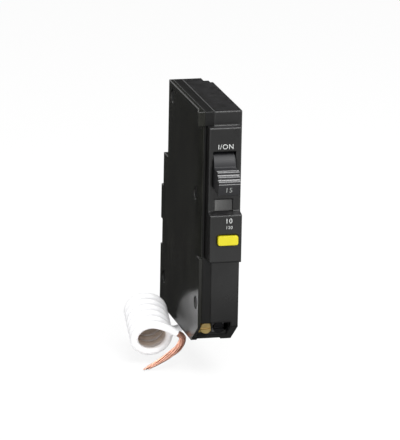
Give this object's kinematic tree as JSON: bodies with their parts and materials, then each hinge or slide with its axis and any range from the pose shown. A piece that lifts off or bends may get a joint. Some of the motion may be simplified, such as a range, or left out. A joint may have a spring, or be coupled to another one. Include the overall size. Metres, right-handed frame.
{
  "type": "ground-fault circuit breaker",
  "caption": "Plug-on ground-fault breaker in a black moulded case with toggle handle, indicator window, yellow test button, screw terminals and a wound white neutral pigtail.",
  "frame": {"origin": "rear rest face, which sits on the panel's base, at its mid height and midway across the pole", "axes": "+X right, -Y to the front (handle side), +Z towards the line end"},
  "size_m": [0.0402, 0.085, 0.1207],
  "materials": {
    "case_black": "glossy black moulded thermoset with fine texture",
    "rivet_steel": "blackened steel",
    "handle_black": "glossy black moulded plastic",
    "window_grey": "smoke-grey moulded lens",
    "button_yellow": "satin yellow moulded plastic",
    "flag_red": "matt red moulded plastic",
    "pin_steel": "bright zinc-plated steel",
    "magnet_steel": "plain stamped steel",
    "tinned_copper": "tin-plated copper",
    "contact_silver": "silver contact alloy",
    "copper": "bare copper",
    "bimetal": "rolled bimetal",
    "brass": "bright brass",
    "zinc": "zinc-plated steel",
    "board_green": "green solder mask",
    "chip_black": "black epoxy",
    "capacitor_blue": "blue sleeve and epoxy",
    "resistor_tan": "tan lacquer",
    "core_grey": "dark grey taped core",
    "bobbin_white": "off-white nylon",
    "relief_black": "black moulded bush",
    "wire_white": "white extruded insulation, satin",
    "wire_copper": "bare stranded copper"
  },
  "bodies": {
    "case": {"base_case": "case_black", "mid_frame": "case_black", "side_cover": "case_black", "case_rivets": "rivet_steel", "trip_window": "window_grey", "handle_pin": "pin_steel", "fixed_contact": "contact_silver", "line_jaw": "tinned_copper", "jaw_spring": "pin_steel", "trip_lever_pin": "pin_steel", "magnet_yoke": "magnet_steel", "bimetal": "bimetal", "calibration_screw": "brass", "flexible_braid": "copper", "test_contact_leaf": "copper", "circuit_board": "board_green", "control_chip": "chip_black", "capacitors": "capacitor_blue", "resistors": "resistor_tan", "surge_disc": "capacitor_blue", "sense_core": "core_grey", "ground_core": "core_grey", "solenoid_frame": "pin_steel", "solenoid_bobbin": "bobbin_white", "solenoid_winding": "copper", "load_lug": "brass", "neutral_lug": "zinc", "load_strap": "copper", "neutral_strap": "copper", "strain_relief": "relief_black", "pigtail_lead": "wire_white", "pigtail_coil": "wire_white", "pigtail_bare_end": "wire_copper"},
    "handle": {"handle": "handle_black", "arm_pin": "pin_steel"},
    "contact_arm": {"contact_arm": "copper", "moving_contact": "contact_silver"},
    "trip_lever": {"trip_lever": "magnet_steel", "toggle_spring": "pin_steel"},
    "armature": {"armature": "magnet_steel"},
    "plunger": {"plunger": "pin_steel", "plunger_spring": "pin_steel"},
    "trip_flag": {"trip_flag": "flag_red"},
    "test_button": {"test_button": "button_yellow", "test_button_spring": "pin_steel"},
    "load_screw": {"load_screw": "brass"},
    "neutral_screw": {"neutral_screw": "zinc"}
  },
  "joints": [
    {"name": "handle_toggle", "type": "hinge", "parent": "case", "child": "handle", "pos_m": [0.00115, -0.0675, 0.03225], "axis": [-1, 0, 0], "range_deg": [0, 30]},
    {"name": "contact_swing", "type": "hinge", "parent": "handle", "child": "contact_arm", "pos_m": [0.00115, -0.05803, 0.03479], "axis": [-1, 0, 0], "range_deg": [-53.5, 0.5]},
    {"name": "cradle_trip", "type": "hinge", "parent": "case", "child": "trip_lever", "pos_m": [0.0045, -0.042, 0.04825], "axis": [1, 0, 0], "range_deg": [0, 12]},
    {"name": "armature_pull", "type": "hinge", "parent": "case", "child": "armature", "pos_m": [0.0025, -0.0511, 0.01975], "axis": [-1, 0, 0], "range_deg": [0, 3]},
    {"name": "plunger_stroke", "type": "slide", "parent": "case", "child": "plunger", "axis": [0, -1, 0], "range_m": [0, 0.0005], "stiffness_N_per_m": 200, "springref_m": -0.0005},
    {"name": "flag_show", "type": "slide", "parent": "case", "child": "trip_flag", "axis": [0, 0, 1], "range_m": [0, 0.0061]},
    {"name": "test_press", "type": "slide", "parent": "case", "child": "test_button", "axis": [0, 1, 0], "range_m": [0, 0.002], "stiffness_N_per_m": 400, "springref_m": -0.001},
    {"name": "load_screw_turn", "type": "hinge", "parent": "case", "child": "load_screw", "pos_m": [-0.0032, -0.064, -0.03985], "axis": [0, -1, 0], "continuous": true},
    {"name": "neutral_screw_turn", "type": "hinge", "parent": "case", "child": "neutral_screw", "pos_m": [0.0026, -0.064, -0.03985], "axis": [0, -1, 0], "continuous": true}
  ],
  "couplings": [
    {"joint": "contact_swing", "follows": "handle_toggle", "ratio": -1.7667},
    {"joint": "armature_pull", "follows": "cradle_trip", "ratio": 0.24},
    {"joint": "flag_show", "follows": "cradle_trip", "m_per_rad": 0.028648}
  ]
}
